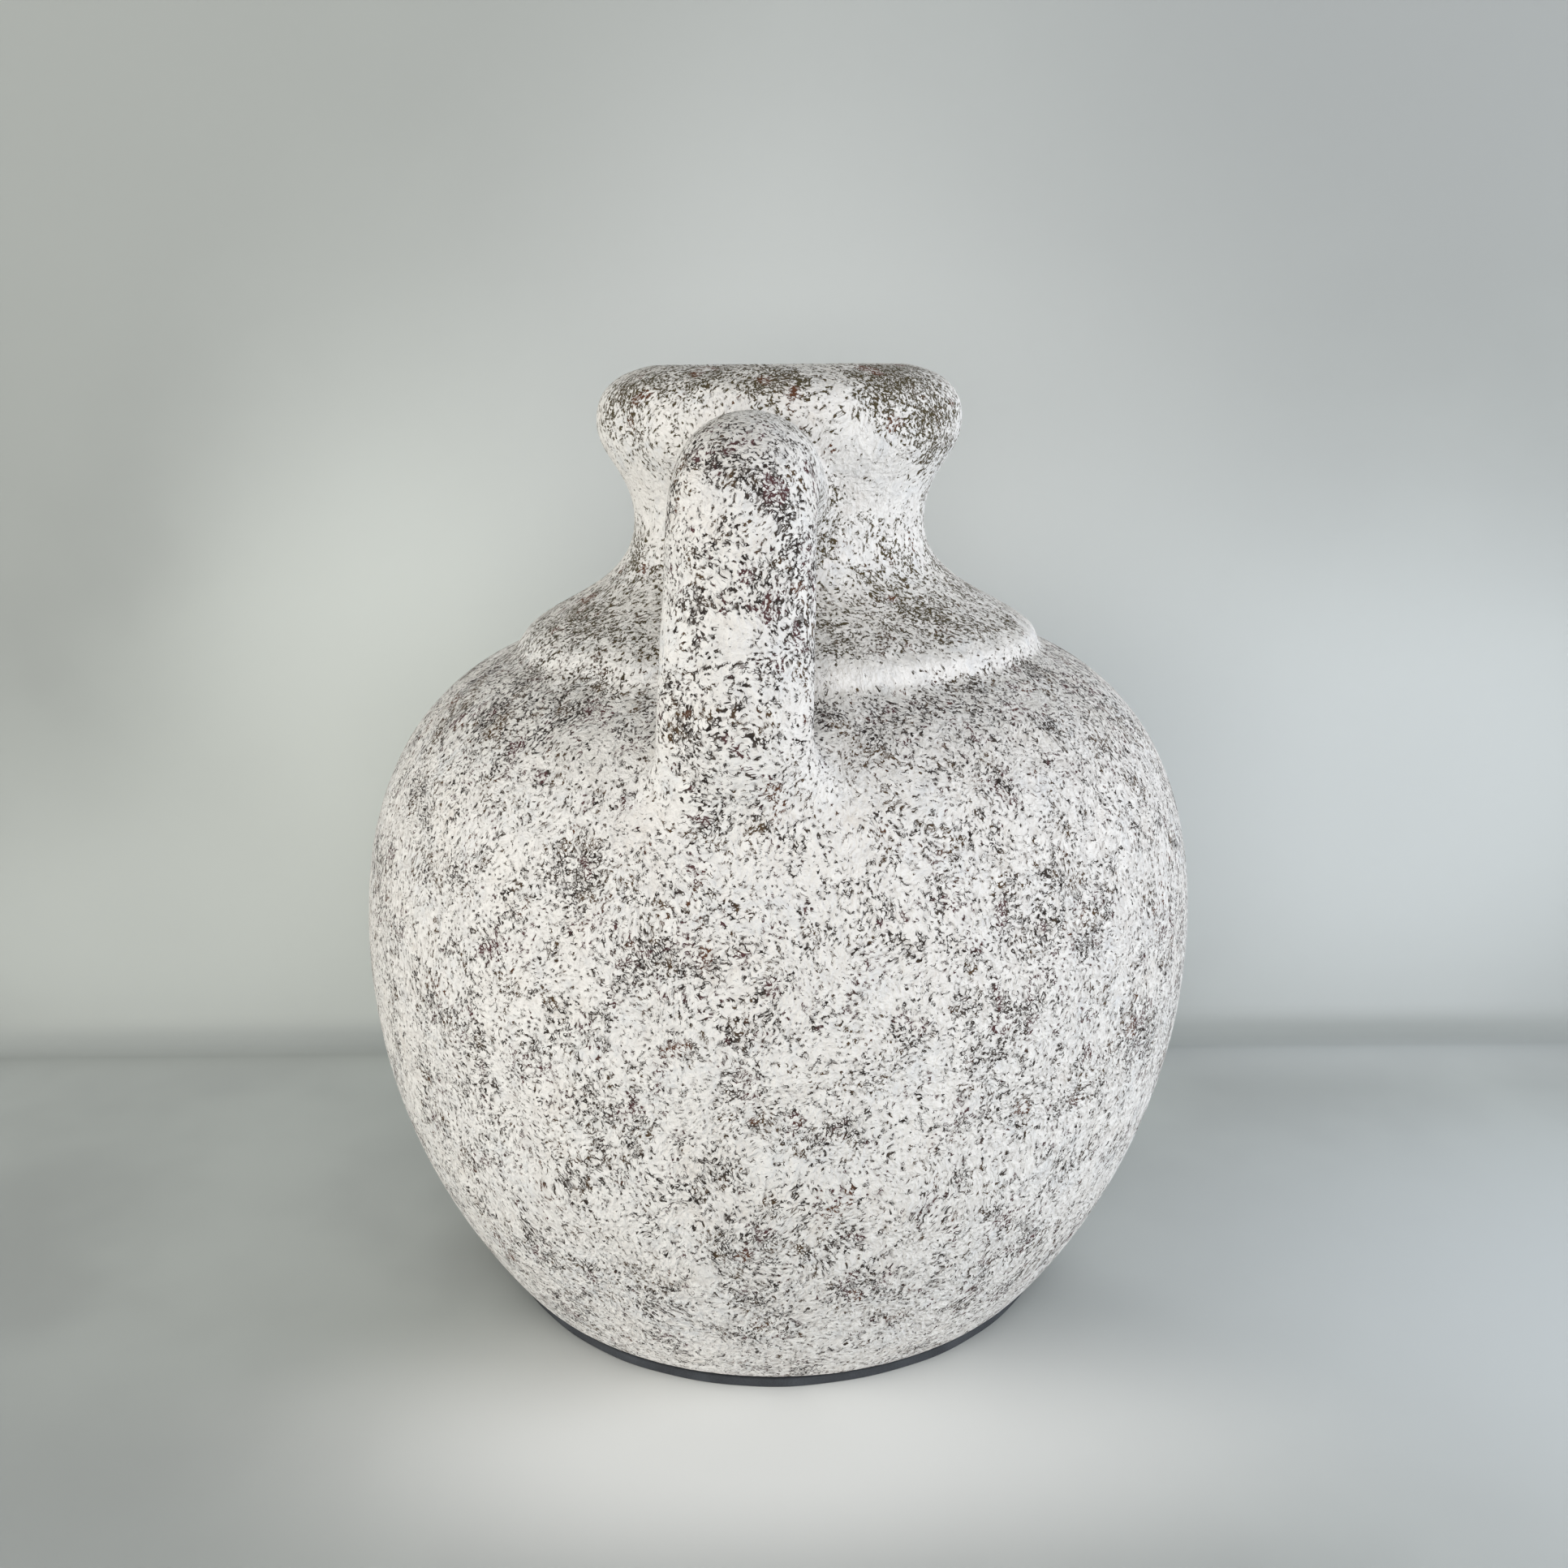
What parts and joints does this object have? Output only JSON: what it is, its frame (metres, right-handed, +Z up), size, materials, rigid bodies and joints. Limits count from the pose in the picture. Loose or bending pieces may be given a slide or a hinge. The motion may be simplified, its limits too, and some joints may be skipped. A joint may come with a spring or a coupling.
{
  "type": "handled vase",
  "caption": "Heavy round-bellied clay vase with a stepped shoulder, short flared neck, thick rolled rim and one stout loop handle, on a thin foam pad.",
  "frame": {"origin": "middle of the pad's flat underside, on the surface that the vase stands on", "axes": "+Z up through the mouth, the handle faces -Y, +X to the right seen from the handle's side"},
  "size_m": [0.364, 0.364, 0.404],
  "materials": {
    "clay": "rough fired clay under a chalky off-white wash, with small dark marks where the clay shows",
    "foam": "matt dark slate closed-cell foam"
  },
  "bodies": {
    "root": {"base_pad": "foam", "lower_body": "clay", "shoulder_neck": "clay", "rim_roll": "clay", "handle": "clay"}
  },
  "joints": []
}
